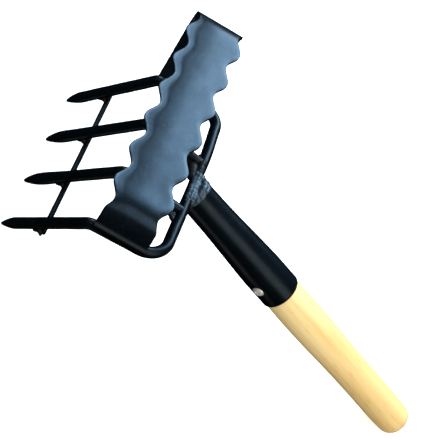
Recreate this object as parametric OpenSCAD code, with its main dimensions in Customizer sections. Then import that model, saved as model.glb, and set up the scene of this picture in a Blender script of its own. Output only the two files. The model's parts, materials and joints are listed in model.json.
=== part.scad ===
// Hand rake with a scalloped stirrup blade: four welded round-bar tines, a thin tie rod,
// a bent strip blade standing on the bars, and a tapered socket that holds a wooden grip.
//
// The tool is drawn in its own frame: +X runs from the tines to the grip, +Y along the blade,
// and the blade's outer face is the plane Z = 0. stand() then tips it until it rests on the
// four tine points and the end of the grip, with its origin under its middle.

/* [Blade] */
// Length of the flat face between the two folds
blade_flat_l = 171; // [171:1:176]
// Width of the strip at its folds and legs
blade_w = 35.6; // [34:0.2:37]
// Thickness of the strip
blade_t = 2.5; // [2:0.1:3]
// Outer radius of the two folds
fold_r = 16.5; // [15:0.5:18]
// Length of one wave of the cutting edges
scallop_pitch = 29.6; // [28:0.1:29.6]
// Number of lobes along each cutting edge
scallop_count = 6; // [6]
// How far the strip's middle line is set towards the grip
blade_x = 0.3; // [-0.5:0.1:0.5]
// How far the strip's middle is set towards the left
blade_y = 0.4; // [-0.5:0.1:0.5]
// Depth of the waves from lobe to hollow
scallop_depth = 5.6; // [3:0.2:8]

/* [Bars] */
// Diameter of the round bars that make the tines and the bow
bar_d = 8; // [7.8:0.1:8.2]
// Depth of the bars' centre plane under the blade's outer face
bar_depth = 55; // [54:0.5:56]
// Distance of the outer tines' roots from the middle
side_y = 71.1; // [70.7:0.1:71.5]
// Distance of the bow's corners from the middle
corner_y = 69.7; // [69.3:0.1:70.1]
// Distance of the inner tines' roots from the middle
inner_y = 23.5; // [22.5:0.1:24.5]
// Distance of the bow's centre line from the middle of the blade
bow_x = 35.6; // [35:0.2:36.4]
// How far the bow's left corner stays behind the right one
bow_lag = 2.6; // [1:0.2:3]
// Bend radius of the bow's left corner
left_corner_r = 13.5; // [13:0.5:20]
// Bend radius of the bow's right corner
right_corner_r = 17; // [13:0.5:20]
// Bend radius where a tine turns down out of the bars' plane
root_bend_r = 6; // [6:0.5:14]
// How much higher the inner tines bend into their bars than the outer ones
inner_rise = 6; // [0:0.5:8]
// Distance from the middle where the left inner bar meets the bow
left_joint_y = 21.6; // [21:0.1:24]
// Distance from the middle where the right inner bar meets the bow
right_joint_y = 24.3; // [22:0.1:25]

/* [Tines] */
// How far the tine points reach in front of the middle of the blade
tip_x = 62; // [60:0.5:66]
// How far the tine points reach under the blade's outer face
tip_depth = 109.3; // [106:0.5:114]
// Distance of the outer tine points from the middle
outer_tip_y = 62.5; // [60:0.5:66]
// Distance of the inner tine points from the middle
inner_tip_y = 20.9; // [19:0.2:22]
// Where the tines start to bend, in front of the middle of the blade
root_x = 15.8; // [15:0.2:17]
// Length of the ground point
point_l = 16; // [12:1:20]
// Radius of the blunted tip
point_r = 1.2; // [0.8:0.1:1.6]

/* [Tie rod] */
// Diameter of the rod welded across the tines
rod_d = 3.8; // [3.4:0.2:4.4]
// Length of the rod
rod_l = 139; // [138:1:143]
// Distance of the rod's left end from the tine points, measured along the tines
rod_left = 29.5; // [28:0.1:33]
// Distance of the rod's right end from the tine points, measured along the tines
rod_right = 31.3; // [28:0.1:33]

/* [Socket] */
// Angle that the socket slopes away from the blade's face
socket_angle = 25.3; // [24:0.1:27]
// Depth of the socket's axis under the blade's outer face, at the bow
socket_depth = 58.7; // [58:0.1:59.4]
// Outer radius of the socket at its small end
neck_r = 12.2; // [12:0.1:12.4]
// Outer radius of the socket where it stops widening, and at its mouth
mouth_r = 14.8; // [14.6:0.1:15]
// Wall of the socket
socket_wall = 1.3; // [1.1:0.1:1.5]
// Distance of the socket's small end from the bow
socket_start = 3; // [3:0.5:4]
// Distance of the socket's mouth from the bow
mouth_at = 103.9; // [100:0.5:108]

/* [Handle] */
// Distance of the end of the grip from the bow
grip_end = 256.2; // [248:0.2:262]
// Radius of the straight part of the grip
grip_r = 13; // [12.5:0.1:13.5]
// Radius of the swelling just outside the socket
swell_r = 14.2; // [13.9:0.1:14.4]
// Radius of the grip just before its rounded end
butt_r = 12.5; // [12:0.1:12.8]
// Rounding of the end of the grip
grip_round = 9.5; // [7:0.5:11]
// How deep the handle reaches into the socket
shank_l = 78; // [60:1:90]

/* [Screw] */
// Distance of the screw from the socket's mouth
screw_from_mouth = 15.5; // [13:0.5:20]
// Angle of the screw below the socket's side
screw_angle = 14; // [0:1:30]
// Diameter of the domed head
screw_head_d = 8.4; // [7.6:0.2:8.8]
// Height of the domed head
screw_head_h = 2.2; // [1.8:0.1:2.6]
// Diameter of the shank
screw_d = 3.6; // [3:0.2:4]
// Length of the shank under the head
screw_l = 18; // [14:1:20]

/* [Hidden] */
$fn = 48;

steel = [0.13, 0.15, 0.18];
blade_blue = [0.33, 0.42, 0.52];
weld_grey = [0.22, 0.24, 0.27];
zinc = [0.78, 0.79, 0.80];
wood = [0.93, 0.80, 0.56];

bar_r = bar_d / 2;
bend_swell = 0.1;          // a bent stretch is this much thicker than the straight ones
bend_overlap = 0.3;        // a straight run reaches this far into a bend
bar_z = -bar_depth;
points_per_wave = 12;
scallop_l = scallop_pitch * (scallop_count + 0.5);
face_z = -12;              // the waves are cut above this height, and the legs below it stay straight

// Places along the socket's axis, which passes under the bow
function axis_point(s) = [bow_x + s * cos(socket_angle), 0, -socket_depth - s * sin(socket_angle)];
// The socket's outer radius: a slow taper, a steeper one, then a straight mouth
flare_start = 30;
flare_end = 82;
flare_r = neck_r + 0.4;    // radius where the steeper taper starts
function socket_r(s) = lookup(s, [[socket_start, neck_r], [flare_start, flare_r], [flare_end, mouth_r]]);
shank_start = mouth_at - shank_l;
screw_at = mouth_at - screw_from_mouth;

// The grip's radius outside the mouth: a swelling that fades into the straight part
swell_l = 36;              // length of the swelling itself
fade_l = 50;               // length over which it fades
butt_l = 18;               // length over which the grip narrows before its rounded end
function fade(t) = (1 + cos(180 * t)) / 2;
round_start = grip_end - grip_round;

// Rest position: one line touches the blunted tine tips and the rounded end of the grip from below
end_fillet = butt_r - grip_round;
function profile(p) = [p.x, p.z];
tip_centre = [-tip_x, -tip_depth];
function end_centre(side) = profile(axis_point(round_start))
    + side * end_fillet * [sin(socket_angle), cos(socket_angle)];
rest_span = end_centre(-1) - tip_centre;
lean = asin((grip_round - point_r) / norm(rest_span)) - atan2(rest_span.y, rest_span.x);
function tipped(p) = [p.x * cos(lean) - p.y * sin(lean), p.x * sin(lean) + p.y * cos(lean)];
rest_z = point_r - tipped(tip_centre).y;
rest_x = -(tipped(tip_centre).x - point_r + tipped(end_centre(1)).x + grip_round) / 2;

// ---- helpers

function unit(v) = v / norm(v);
function heading(path, i) = unit(path[i + 1] - path[i]);
function turn(path, i) = acos(heading(path, i - 1) * heading(path, i));
function setback(path, radii, i) = radii[i] * tan(turn(path, i) / 2);
// Where a straight run stops short of a corner: just inside the bend, or at the bar's own end
function run_out(path, radii, i) = radii[i] == 0 ? 0 : setback(path, radii, i) - bend_overlap;

module stand() {
    translate([rest_x, 0, rest_z]) rotate([0, -lean, 0]) children();
}

// Turns +Z to point along a direction
module aim(v) {
    rotate([0, acos(unit(v).z), atan2(v.y, v.x)]) children();
}

module rod_between(from, to, d) {
    translate(from) aim(to - from) cylinder(h = norm(to - from), d = d);
}

module straight(path, radii, i) {
    along = heading(path, i);
    rod_between(path[i] + along * run_out(path, radii, i),
                path[i + 1] - along * run_out(path, radii, i + 1), bar_d);
}

module elbow(path, radii, i) {
    u = heading(path, i - 1);
    v = heading(path, i);
    inward = unit(v - u * (u * v));
    normal = cross(-inward, u);
    centre = path[i] - u * setback(path, radii, i) + inward * radii[i];
    multmatrix([[-inward.x, u.x, normal.x, centre.x],
                [-inward.y, u.y, normal.y, centre.y],
                [-inward.z, u.z, normal.z, centre.z],
                [0, 0, 0, 1]])
        rotate_extrude(angle = turn(path, i)) translate([radii[i], 0]) circle(d = bar_d + bend_swell);
}

// A round bar along a path, with a bend of its own radius at each inner point
module bent_bar(path, radii) {
    for (i = [0 : len(path) - 2]) straight(path, radii, i);
    for (i = [1 : len(path) - 2]) elbow(path, radii, i);
}

// ---- tines and bars

function tine_tip(y) = [-tip_x, y, -tip_depth];
function tine_root(y) = [-root_x, y, bar_z];
function tine_base(tip_y, root_y) =
    tine_tip(tip_y) + point_l * unit(tine_root(root_y) - tine_tip(tip_y));

module tine_point(tip_y, root_y) {
    translate(tine_tip(tip_y)) {
        sphere(r = point_r);
        aim(tine_root(root_y) - tine_tip(tip_y))
            cylinder(h = point_l + bend_overlap, r1 = point_r, r2 = bar_r - bend_swell / 4);
    }
}

lag_start_y = 30;          // where the bow starts to lean back towards its left corner
lag_bend_r = 60;
outer_path = [tine_base(outer_tip_y, side_y), tine_root(side_y), [bow_x - bow_lag, corner_y, bar_z],
              [bow_x, lag_start_y, bar_z], [bow_x, -corner_y, bar_z], tine_root(-side_y),
              tine_base(-outer_tip_y, -side_y)];
outer_bends = [0, root_bend_r, left_corner_r, lag_bend_r, right_corner_r, root_bend_r, 0];

// One bar bent to both outer tines, the two sides under the blade, and the bow
module outer_bar_shape() {
    bent_bar(outer_path, outer_bends);
    for (side = [-1, 1]) tine_point(side * outer_tip_y, side * side_y);
}

module outer_tine_bar() {
    color(steel) outer_bar_shape();
}

// An inner bar slopes straight from its tine down to the bow, and is coped onto it
cope_gap = 1.5;            // the bar's end stops this far short of the bow's centre line
function inner_root(side) = tine_root(side * inner_y)
    + (tine_root(side * inner_y) - tine_tip(side * inner_tip_y)) * inner_rise / (bar_z + tip_depth);
module inner_bar_shape(side, joint_y) {
    difference() {
        bent_bar([tine_base(side * inner_tip_y, side * inner_y), inner_root(side),
                  [bow_x - cope_gap, side * joint_y, bar_z]], [0, root_bend_r, 0]);
        outer_bar_shape();
    }
    tine_point(side * inner_tip_y, side * inner_y);
}

module left_inner_tine_bar() {
    color(steel) inner_bar_shape(1, left_joint_y);
}

module right_inner_tine_bar() {
    color(steel) inner_bar_shape(-1, right_joint_y);
}

// ---- tie rod, welded across the tines on the side that faces the grip

tine_slope = atan2(tip_depth - bar_depth, tip_x - root_x);
rod_gap = bar_r + rod_d / 2;
// A place at a distance from the tine points, and at a height off the tines' centre lines
function off_tine(from_tip, height, y) =
    [-tip_x + from_tip * cos(tine_slope) + height * sin(tine_slope), y,
     -tip_depth + from_tip * sin(tine_slope) - height * cos(tine_slope)];
// The rod lies a little askew, so its distance from the points changes along it
function rod_from_tip(y) = (rod_left + rod_right) / 2 + (rod_left - rod_right) * y / rod_l;

module tie_rod() {
    color(steel) rod_between(off_tine(rod_right, rod_gap, -rod_l / 2),
                             off_tine(rod_left, rod_gap, rod_l / 2), rod_d);
}

// A tine's distance from the middle, where the tie rod crosses it
function y_at_rod(tip_y, root_y) =
    tip_y + (root_y - tip_y) * (rod_left + rod_right) / 2 * cos(tine_slope) / (tip_x - root_x);

rod_crossings = [for (side = [-1, 1])
    each [side * y_at_rod(outer_tip_y, side_y), side * y_at_rod(inner_tip_y, inner_y)]];

// ---- blade

fold_y = blade_flat_l / 2;
// The leg's outer face touches the fold's outer circle and passes the bar's centre at foot_lap
foot_lap = bar_r * 0.68;
foot_y = corner_y + (side_y - corner_y) * bow_x / (bow_x + root_x);
leg_reach = [fold_y - foot_y, -fold_r - bar_z];
leg_tilt = atan2(leg_reach.x, leg_reach.y) + asin((fold_r - foot_lap) / norm(leg_reach));
fold_overlap = 0.4;        // the leg reaches this far into the fold
leg_l = sqrt(leg_reach * leg_reach - (fold_r - foot_lap) * (fold_r - foot_lap));

// Half of the strip's section, in the plane of its length and height
module half_strip_section() {
    translate([0, -blade_t]) square([fold_y + fold_overlap / 2, blade_t]);
    translate([fold_y, -fold_r]) intersection() {
        difference() {
            circle(r = fold_r, $fn = 96);
            circle(r = fold_r - blade_t, $fn = 96);
        }
        union() {
            square(fold_r * 2);
            rotate(-leg_tilt) square(fold_r * 2);
        }
    }
    translate([foot_y, bar_z]) rotate(-leg_tilt) translate([foot_lap - blade_t, 0])
        square([blade_t, leg_l + fold_overlap]);
}

module strip(w) {
    rotate([90, 0, 90]) linear_extrude(w, center = true) {
        half_strip_section();
        mirror([1, 0]) half_strip_section();
    }
}

// Half width of the face at a place along the blade: lobes and hollows in turn
function face_half_w(y) = blade_w / 2
    - scallop_depth / 2 * cos(360 * (y + scallop_count * scallop_pitch / 2) / scallop_pitch);

scallop_steps = (scallop_count + 0.5) * points_per_wave;
edge_points = [for (i = [0 : scallop_steps]) let (y = (i / scallop_steps - 0.5) * scallop_l)
    [face_half_w(y), y]];

module face_outline() {
    polygon(concat(edge_points, [for (i = [scallop_steps : -1 : 0])
        [-edge_points[i].x, edge_points[i].y]]));
    for (side = [-1, 1]) translate([0, side * (scallop_l + fold_r * 2) / 2])
        square([blade_w, fold_r * 2], center = true);
}

// What is cut from a wide strip: the hollows along the face, and both sides of the legs
module edge_trims() {
    reach = [blade_w * 2, blade_flat_l * 1.5];
    translate([0, 0, face_z]) linear_extrude(-face_z + 1) difference() {
        square(reach, center = true);
        face_outline();
    }
    for (side = [-1, 1])
        translate([side * blade_w, 0, face_z - 30]) cube([blade_w, reach.y, 60], center = true);
}

module blade_shape() {
    difference() {
        translate([blade_x, blade_y, 0]) difference() {
            strip(blade_w + scallop_depth);
            edge_trims();
        }
        outer_bar_shape();
    }
}

module blade() {
    color(blade_blue) blade_shape();
}

// ---- socket and handle

module along_axis(s) {
    translate(axis_point(s)) rotate([0, 90 + socket_angle, 0]) children();
}

function socket_wall_line(inset, overrun) =
    [for (s = [socket_start, flare_start, flare_end, mouth_at])
        [socket_r(s) - inset, s + (s == socket_start ? -overrun : s == mouth_at ? overrun : 0)]];

module socket() {
    color(steel) difference() {
        along_axis(0) rotate_extrude()
            polygon(concat([[0, socket_start]], socket_wall_line(0, 0), [[0, mouth_at]]));
        along_axis(0) rotate_extrude()
            polygon(concat([[0, socket_start - 1]], socket_wall_line(socket_wall, 1), [[0, mouth_at + 1]]));
        screw_hole();
    }
}

function grip_profile() = concat(
    [[0, shank_start], [socket_r(shank_start) - socket_wall, shank_start],
     [socket_r(flare_end) - socket_wall, flare_end], [mouth_r - socket_wall, mouth_at],
     [(mouth_r - socket_wall + swell_r) / 2 + 0.2, mouth_at + swell_l / 4],
     [swell_r, mouth_at + swell_l * 0.6]],
    [for (i = [0 : 10]) [grip_r + (swell_r - grip_r) * fade(i / 10),
                         mouth_at + swell_l + fade_l * i / 10]],
    [[grip_r, round_start - butt_l + grip_round], [butt_r, round_start], [0, round_start]]);

module handle() {
    color(wood) difference() {
        along_axis(0) rotate_extrude() {
            polygon(grip_profile());
            translate([0, round_start]) square([end_fillet, grip_round]);
            translate([end_fillet, round_start]) intersection() {
                circle(r = grip_round);
                square(grip_round);
            }
        }
        screw_hole();
    }
}

// The screw goes in square to the socket's wall, from the side and a little below
module in_screw_frame() {
    along_axis(screw_at) rotate([0, 0, -90 + screw_angle]) rotate([0, 90, 0])
        translate([0, 0, socket_r(screw_at)]) children();
}

module screw_hole() {
    in_screw_frame() translate([0, 0, -screw_l]) cylinder(h = screw_l + 6, d = screw_d);
}

head_sphere_r = (screw_head_h * screw_head_h + screw_head_d * screw_head_d / 4) / (2 * screw_head_h);

module handle_screw() {
    color(zinc) in_screw_frame() {
        translate([0, 0, -screw_l]) cylinder(h = screw_l + 1, d = screw_d);
        intersection() {
            translate([0, 0, screw_head_h - head_sphere_r]) sphere(r = head_sphere_r);
            cylinder(h = screw_head_h, d = screw_head_d);
        }
    }
}

// ---- welds

// Built-up weld that closes the socket's small end against the bow
plug_l = 8;
plug_tip_r = 10.6;
module socket_weld() {
    color(weld_grey) difference() {
        union() {
            along_axis(socket_start - plug_l) cylinder(h = plug_l, r1 = plug_tip_r, r2 = neck_r - 0.2);
            along_axis(socket_start - 1) cylinder(h = plug_l, r = neck_r - socket_wall);
        }
        outer_bar_shape();
        // Nothing of the weld stands in front of the bow
        translate([bow_x - 52, 0, bar_z]) cube(100, center = true);
    }
}

// A weld runs from the left inner bar to the socket, and a flat one fills the right bar's corner
bow_front = bow_x - bar_r;
left_weld = [[bow_front - 1.2, left_joint_y - 3, bar_z + 0.3], [bow_front + 0.4, 4, bar_z + 0.3]];
left_weld_r = [4.1, 2.4];
corner_weld = [9.5, 8];    // along the bow and along the bar
corner_weld_h = 5;
module inner_bar_welds() {
    color(weld_grey) difference() {
        union() {
            translate(left_weld[0]) aim(left_weld[1] - left_weld[0])
                cylinder(h = norm(left_weld[1] - left_weld[0]), r1 = left_weld_r[0], r2 = left_weld_r[1]);
            translate([bow_front + 1, -right_joint_y - bar_r + 1, bar_z])
                linear_extrude(corner_weld_h, center = true)
                    polygon([[0, 0], [0, -corner_weld.x], [-corner_weld.y, 0]]);
        }
        outer_bar_shape();
        inner_bar_shape(1, left_joint_y);
        inner_bar_shape(-1, right_joint_y);
    }
}

foot_weld_l = 20;
foot_weld_r = 2.2;
module blade_foot_welds() {
    color(weld_grey) difference() {
        for (side = [-1, 1])
            translate([0, side * (foot_y - 1.6), bar_z + bar_r + 0.4]) rotate([0, 90, 0])
                cylinder(h = foot_weld_l, r = foot_weld_r, center = true);
        outer_bar_shape();
        blade_shape();
    }
}

rod_weld_r = 2.6;
module tie_rod_welds() {
    color(weld_grey) difference() {
        for (y = rod_crossings)
            translate(off_tine(rod_from_tip(y) - 3, bar_r, y)) sphere(r = rod_weld_r);
        outer_bar_shape();
        inner_bar_shape(1, left_joint_y);
        inner_bar_shape(-1, right_joint_y);
        tie_rod();
    }
}

stand() blade();
stand() outer_tine_bar();
stand() left_inner_tine_bar();
stand() right_inner_tine_bar();
stand() tie_rod();
stand() socket();
stand() handle();
stand() handle_screw();
stand() socket_weld();
stand() inner_bar_welds();
stand() blade_foot_welds();
stand() tie_rod_welds();
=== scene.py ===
"""Hand rake with a scalloped stirrup blade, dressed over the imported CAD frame.

Shapes are worked out in the tool's own frame, in millimetres: +X runs from the tines to the
grip, +Y along the blade, and the blade's outer face is Z = 0. TOOL places that frame in the row.
"""
import json
import math
import random

import bmesh
import bpy
from mathutils import Matrix, Vector, noise


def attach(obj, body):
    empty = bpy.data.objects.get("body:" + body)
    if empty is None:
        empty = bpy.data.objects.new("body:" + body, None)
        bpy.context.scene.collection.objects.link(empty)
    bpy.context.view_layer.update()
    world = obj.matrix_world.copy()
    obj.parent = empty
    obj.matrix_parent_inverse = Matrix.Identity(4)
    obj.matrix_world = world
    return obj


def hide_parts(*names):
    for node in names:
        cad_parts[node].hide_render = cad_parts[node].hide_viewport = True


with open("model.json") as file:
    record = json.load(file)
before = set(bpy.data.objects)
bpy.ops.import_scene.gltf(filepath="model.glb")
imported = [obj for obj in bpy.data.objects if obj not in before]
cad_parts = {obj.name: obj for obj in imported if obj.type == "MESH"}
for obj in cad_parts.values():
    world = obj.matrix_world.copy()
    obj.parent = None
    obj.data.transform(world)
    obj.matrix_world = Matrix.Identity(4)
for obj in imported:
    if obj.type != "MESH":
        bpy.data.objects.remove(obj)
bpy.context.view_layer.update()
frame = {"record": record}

MM = 0.001
UP = Vector((0, 0, 1))
ALONG_BLADE = Vector((0, 1, 0))


def tool_frame():
    """The tool's own frame, from the mount on the blade's face."""
    face = next(m for m in frame["record"]["mounts"] if m["name"] == "blade_face")
    normal = Vector(face["axis"]).normalized()
    to_grip = ALONG_BLADE.cross(normal)
    turn = Matrix((to_grip, ALONG_BLADE, normal)).transposed().to_4x4()
    return Matrix.Translation(face["pos_m"]) @ turn


TOOL = tool_frame()

# ---------------------------------------------------------------- sizes, in millimetres

# The strip blade: its flat face, its folds and the waves of its edges
BLADE_FLAT_L = 171.0
BLADE_W = 35.6
BLADE_T = 2.5
FOLD_R = 16.5
SCALLOP_PITCH = 29.6
SCALLOP_COUNT = 6
SCALLOP_DEPTH = 5.6
SCALLOP_FLOOR = -12.0
BLADE_SHIFT = Vector((0.3, 0.4, 0))

# The round bars: their plane, the bow, the tines' roots and their points
BAR_R = 4.0
BAR_Z = -55.0
SIDE_Y = 71.1
CORNER_Y = 69.7
INNER_Y = 23.5
BOW_X = 35.6
BOW_LAG = 2.6
BOW_LAG_FROM_Y = 30.0
ROOT_X = 15.8
TIP_X = 62.0
TIP_Z = -109.3
OUTER_TIP_Y = 62.5
INNER_TIP_Y = 20.9
INNER_RISE = 6.0
LEFT_JOINT_Y = 21.6
RIGHT_JOINT_Y = 24.3

# The radii of the bars' bends
ROOT_BEND_R = 6.0
LEFT_CORNER_R = 13.5
LAG_BEND_R = 60.0
RIGHT_CORNER_R = 17.0

# A tine's point: a blunted end, then (distance from the end, radius), a little swollen
TIP_R = 1.2
BLUNT_L = 0.7
THINNEST_R = 0.02
POINT_PROFILE = [(BLUNT_L, 1.09), (3, 2.05), (6, 2.95), (9, 3.62), (12, 4.05), (15, 4.25),
                 (19, 4.25), (26, 4.08), (34, BAR_R)]

# The thin rod, and its distances from the tines' points at its two ends
ROD_R = 1.9
ROD_L = 139.0
ROD_LEFT = 29.5
ROD_RIGHT = 31.3
ROD_MIDDLE = (ROD_LEFT + ROD_RIGHT) / 2
ROD_END_ROUND = 0.5

# The socket, the grip and the screw, along an axis that slopes down from the bow
SLOPE = math.radians(25.3)
SOCKET_Z = -58.7
SOCKET_START = 3.0
SOCKET_R = 14.8
MOUTH = 103.9
WALL = 1.3
GRIP_END = 256.2
SCREW_AT = 88.4
SCREW_TURN = math.radians(14)

AXIS_DIR = Vector((math.cos(SLOPE), 0, -math.sin(SLOPE)))
AXIS_UP = Vector((math.sin(SLOPE), 0, math.cos(SLOPE)))
AXIS_START = Vector((BOW_X, 0, SOCKET_Z))


def axis_frame():
    """Local Z runs down the grip, local X points up out of it, local Y to the right."""
    right = AXIS_DIR.cross(AXIS_UP)
    turn = Matrix((AXIS_UP, right, AXIS_DIR)).transposed().to_4x4()
    return TOOL @ Matrix.Translation(AXIS_START * MM) @ turn


GRIP_FRAME = axis_frame()

# ---------------------------------------------------------------- materials

# The sockets of a mix node that belong to colours
MIX_FACTOR, MIX_BELOW, MIX_ABOVE, MIX_RESULT = 0, 6, 7, 2
NO_COLOUR = (0, 0, 0)
WHITE = (1, 1, 1)


def feed(tree, node, inputs):
    """Links each input that is given a socket, and sets any other to its value."""
    for key, value in inputs.items():
        if isinstance(value, bpy.types.NodeSocket):
            tree.links.new(value, node.inputs[key])
        else:
            node.inputs[key].default_value = value
    return node


def add(tree, kind, inputs, **settings):
    """A shader node with its settings and inputs."""
    made = tree.nodes.new(kind)
    for key, value in settings.items():
        setattr(made, key, value)
    return feed(tree, made, inputs)


def ramp(tree, factor, stops):
    """Colours by (place, colour) stops."""
    made = add(tree, "ShaderNodeValToRGB", {"Fac": factor})
    elements = made.color_ramp.elements
    while len(elements) < len(stops):
        elements.new(0.5)
    for element, (place, colour) in zip(elements, stops):
        element.position = place
        element.color = (*colour, 1.0)
    return made.outputs["Color"]


def blend(tree, how, below, above):
    """Two colours laid over each other in full."""
    made = add(tree, "ShaderNodeMix", {MIX_FACTOR: 1.0, MIX_BELOW: below, MIX_ABOVE: above},
               data_type="RGBA", blend_type=how)
    return made.outputs[MIX_RESULT]


def span(tree, value, low, high):
    """Maps a 0 to 1 value to the range low to high."""
    made = add(tree, "ShaderNodeMapRange", {"Value": value, "To Min": low, "To Max": high})
    return made.outputs["Result"]


def object_place(tree):
    return add(tree, "ShaderNodeTexCoord", {}).outputs["Object"]


def object_noise(tree, scale, detail=4.0, stretch=(1, 1, 1), rough=0.55, frame_of=TOOL):
    """Noise in metres, turned into a piece's own frame before it is stretched."""
    turn = frame_of.to_3x3().inverted().to_euler()
    turned_in = add(tree, "ShaderNodeMapping", {"Vector": object_place(tree), "Rotation": turn})
    mapped = add(tree, "ShaderNodeMapping", {
        "Vector": turned_in.outputs["Vector"], "Scale": stretch})
    made = add(tree, "ShaderNodeTexNoise", {
        "Vector": mapped.outputs["Vector"], "Scale": scale, "Detail": detail,
        "Roughness": rough})
    return made.outputs["Fac"]


def down_axis(tree, frame_of, start, end):
    """A value that goes from 0 to 1 between two distances down a frame's own Z."""
    axis = frame_of.to_3x3() @ UP
    reach = add(tree, "ShaderNodeVectorMath", {0: object_place(tree), 1: axis},
                operation="DOT_PRODUCT")
    base = frame_of.translation.dot(axis)
    made = add(tree, "ShaderNodeMapRange", {
        "Value": reach.outputs["Value"], "From Min": base + start * MM,
        "From Max": base + end * MM}, interpolation_type="SMOOTHSTEP")
    return made.outputs["Result"]


def bumps(tree, layers):
    """Bump nodes chained: each layer is (height, strength, distance in metres)."""
    normal = None
    for height, strength, distance in layers:
        inputs = {"Height": height, "Strength": strength, "Distance": distance}
        if normal is not None:
            inputs["Normal"] = normal
        normal = add(tree, "ShaderNodeBump", inputs).outputs["Normal"]
    return normal


def fresh(name):
    made = bpy.data.materials.new(name)
    made.use_nodes = True
    return made, made.node_tree, made.node_tree.nodes["Principled BSDF"]


WAVE_DEPTH = 0.0004
PEEL_DEPTH = 0.00005


def paint(name, dark, light, rough, specular, tint, peel, waves, dust=0.005, mottled=0.3):
    """Sprayed paint: cloudy colour with specks, uneven gloss, orange peel and slow waves."""
    made, tree, shader = fresh(name)
    cloud = object_noise(tree, scale=38.0, detail=5.0)
    fine = object_noise(tree, scale=900.0, detail=2.0)
    slow = object_noise(tree, scale=60.0, detail=2.0)
    scuff = object_noise(tree, scale=420.0, detail=6.0, stretch=(1.0, 0.4, 1.0), rough=0.7)
    mottle = object_noise(tree, scale=120.0, detail=7.0, stretch=(1.0, 0.7, 1.0), rough=0.68)
    colour = ramp(tree, cloud, [(0.3, dark), (0.75, light)])
    specks = ramp(tree, scuff, [(0.56, NO_COLOUR), (0.72, (dust * 0.8, dust, dust * 1.2))])
    gloss = span(tree, mottle, specular * (1 - mottled), specular * (1 + mottled))
    feed(tree, shader, {
        "Base Color": blend(tree, "ADD", colour, specks),
        "Roughness": span(tree, cloud, *rough),
        "Normal": bumps(tree, [(slow, waves, WAVE_DEPTH), (fine, peel, PEEL_DEPTH)]),
        "Specular IOR Level": gloss,
        "Specular Tint": (*tint, 1.0)})
    return made


# The stretch of the grip over which painted shade darkens its colour towards the end
END_SHADE_FROM = MOUTH + 25
END_SHADE_TO = GRIP_END - 20


def wood():
    """Pale turned hardwood: streaks along the grip, short pores, stains, and painted shade that
    darkens the end.
    """
    made, tree, shader = fresh("pale_turned_wood")

    def grain(scale, detail, along, rough=0.5):
        return object_noise(tree, scale, detail, (1.0, 1.0, along), rough, GRIP_FRAME)

    broad = grain(scale=26.0, detail=3.0, along=0.16)
    streak = grain(scale=230.0, detail=4.0, along=0.05)
    pores = grain(scale=900.0, detail=3.0, along=0.07, rough=0.6)
    patch = grain(scale=60.0, detail=3.0, along=0.35)
    # Painted shade: the grip's colour is darkened step by step towards its end
    end_shade = down_axis(tree, GRIP_FRAME, END_SHADE_FROM, END_SHADE_TO)
    colour = ramp(tree, broad, [(0.3, (0.95, 0.76, 0.37)), (0.5, (0.97, 0.82, 0.43)),
                                (0.72, (0.94, 0.71, 0.33))])
    for factor, stops in (
            (streak, [(0.3, (0.90, 0.84, 0.72)), (0.55, WHITE)]),
            (pores, [(0.27, (0.72, 0.60, 0.44)), (0.37, WHITE)]),
            (patch, [(0.25, (0.93, 0.83, 0.66)), (0.45, WHITE)]),
            (end_shade, [(0.0, WHITE), (1.0, (0.90, 0.83, 0.74))])):
        colour = blend(tree, "MULTIPLY", colour, ramp(tree, factor, stops))
    feed(tree, shader, {
        "Base Color": colour,
        "Roughness": span(tree, streak, 0.42, 0.6),
        "Normal": bumps(tree, [(streak, 0.25, 0.0001), (pores, 0.3, 0.00006)]),
        "Specular IOR Level": 0.35})
    return made


def zinc():
    """Bright plating, a little cloudy and finely scratched."""
    made, tree, shader = fresh("bright_zinc")
    scratch = object_noise(tree, scale=700.0, stretch=(1.0, 0.1, 1.0))
    cloud = object_noise(tree, scale=300.0, detail=3.0)
    feed(tree, shader, {
        "Base Color": ramp(tree, cloud, [(0.3, (0.78, 0.80, 0.83)), (0.7, (0.93, 0.95, 0.98))]),
        "Roughness": span(tree, scratch, 0.28, 0.5),
        "Normal": bumps(tree, [(scratch, 0.3, 0.00003)]),
        "Metallic": 0.5})
    return made


BLACK = paint("satin_black_paint", dark=(0.0006, 0.0016, 0.0028), light=(0.0016, 0.0036, 0.0060),
              rough=(0.26, 0.38), specular=0.19, tint=(0.52, 0.77, 1.0), peel=0.25, waves=0.25)
BLADE = paint("blue_black_strip_paint",
              dark=(0.0012, 0.0026, 0.0046), light=(0.0030, 0.0054, 0.0090),
              rough=(0.24, 0.33), specular=0.36, tint=(0.42, 0.70, 1.0), peel=0.10, waves=0.14,
              dust=0.010, mottled=0.55)
# This weld paint's base colour is lifted to light blue-grey, a painted reflection of the cool
# light; the real paint is black like the bars
WELD_PAINTED_SHEEN = paint("weld_paint_with_painted_sheen", dark=(0.010, 0.018, 0.030), light=(0.034, 0.056, 0.090),
             rough=(0.38, 0.54), specular=0.9, tint=(0.62, 0.84, 1.0), peel=0.35, waves=0.5)
DULL_WELD = paint("dull_painted_weld",
                  dark=(0.0025, 0.0030, 0.0036), light=(0.0090, 0.0100, 0.0100),
                  rough=(0.45, 0.62), specular=0.25, tint=(0.70, 0.86, 1.0), peel=0.35, waves=0.5)
ROD_PAINT = paint("thin_rod_paint",
                  dark=(0.0010, 0.0013, 0.0018), light=(0.0030, 0.0036, 0.0044),
                  rough=(0.34, 0.50), specular=0.06, tint=(0.62, 0.83, 1.0), peel=0.25, waves=0.25)
WOOD = wood()
ZINC = zinc()

# ---------------------------------------------------------------- mesh helpers

# Edges that turn by more than these angles, in degrees, are shaded sharp
PLAIN_CREASE = 38.0
BLADE_CREASE = 30.0
SCREW_CREASE = 50.0
WELD_CREASE = 70.0


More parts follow.
